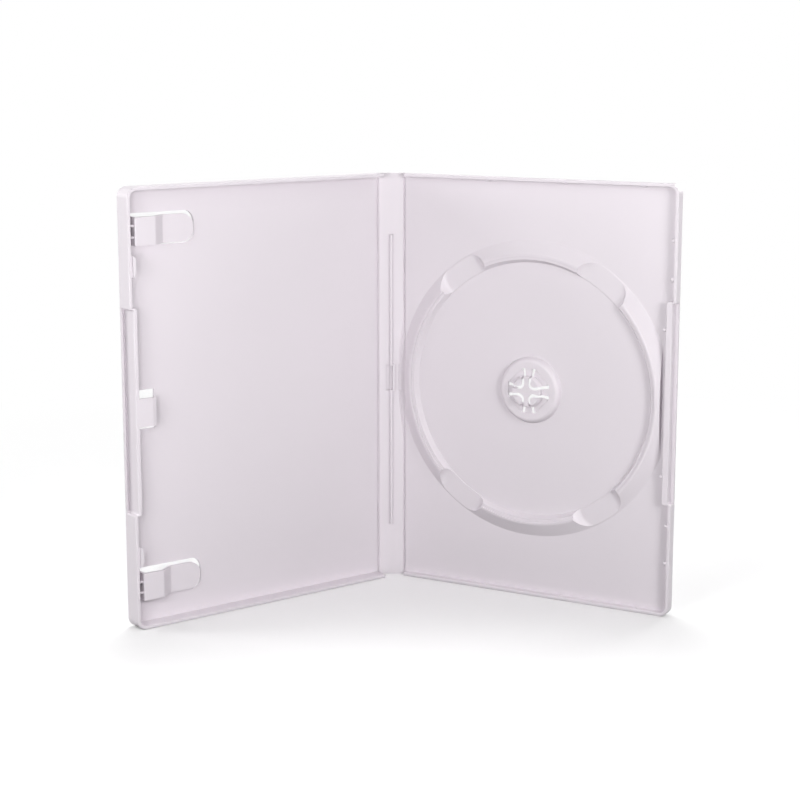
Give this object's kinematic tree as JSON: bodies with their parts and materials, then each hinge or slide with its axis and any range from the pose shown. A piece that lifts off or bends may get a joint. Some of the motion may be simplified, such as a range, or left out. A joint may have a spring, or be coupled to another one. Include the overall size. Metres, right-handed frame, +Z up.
{
  "type": "game disc case",
  "caption": "Hinged plastic case for one game disc, standing open, with a push-release disc hub in the tray, booklet clips in the cover and a clear outer sleeve.",
  "frame": {"origin": "middle of the spine's lower end, on the surface that the open case stands on", "axes": "+Z up along the spine, +X across to the tray's side, -Y towards the open inside"},
  "size_m": [0.238, 0.083, 0.19],
  "materials": {
    "case_plastic": "satin",
    "clear_film": "gloss"
  },
  "bodies": {
    "spine": {"spine": "case_plastic", "sleeve_spine": "clear_film"},
    "cover": {"front_cover": "case_plastic", "sleeve_cover": "clear_film"},
    "tray": {"back_tray": "case_plastic", "sleeve_tray": "clear_film"},
    "button": {"hub_button": "case_plastic"},
    "finger_upper_right": {"hub_finger_upper_right": "case_plastic"},
    "finger_upper_left": {"hub_finger_upper_left": "case_plastic"},
    "finger_lower_left": {"hub_finger_lower_left": "case_plastic"},
    "finger_lower_right": {"hub_finger_lower_right": "case_plastic"}
  },
  "joints": [
    {"name": "cover_hinge", "type": "hinge", "parent": "spine", "child": "cover", "pos_m": [-0.00645, 0, 0.095], "axis": [0, 0, 1], "range_deg": [-34, 56]},
    {"name": "tray_hinge", "type": "hinge", "parent": "spine", "child": "tray", "pos_m": [0.00645, 0, 0.095], "axis": [0, 0, -1], "range_deg": [-34, 56]},
    {"name": "hub_press", "type": "slide", "parent": "tray", "child": "button", "axis": [0.5592, 0.829, 0], "range_m": [0, 0.0012], "stiffness_N_per_m": 1500},
    {"name": "finger_upper_right_bend", "type": "hinge", "parent": "tray", "child": "finger_upper_right", "pos_m": [0.0649, -0.04317, 0.1016], "axis": [0.5862, -0.3954, -0.7071], "range_deg": [0, 5]},
    {"name": "finger_upper_left_bend", "type": "hinge", "parent": "tray", "child": "finger_upper_left", "pos_m": [0.05396, -0.03579, 0.1016], "axis": [0.5862, -0.3954, 0.7071], "range_deg": [0, 5]},
    {"name": "finger_lower_left_bend", "type": "hinge", "parent": "tray", "child": "finger_lower_left", "pos_m": [0.05396, -0.03579, 0.0884], "axis": [-0.5862, 0.3954, 0.7071], "range_deg": [0, 5]},
    {"name": "finger_lower_right_bend", "type": "hinge", "parent": "tray", "child": "finger_lower_right", "pos_m": [0.0649, -0.04317, 0.0884], "axis": [-0.5862, 0.3954, -0.7071], "range_deg": [0, 5]}
  ],
  "couplings": [
    {"joint": "finger_upper_right_bend", "follows": "hub_press", "rad_per_m": 69},
    {"joint": "finger_upper_left_bend", "follows": "hub_press", "rad_per_m": 69},
    {"joint": "finger_lower_left_bend", "follows": "hub_press", "rad_per_m": 69},
    {"joint": "finger_lower_right_bend", "follows": "hub_press", "rad_per_m": 69}
  ]
}
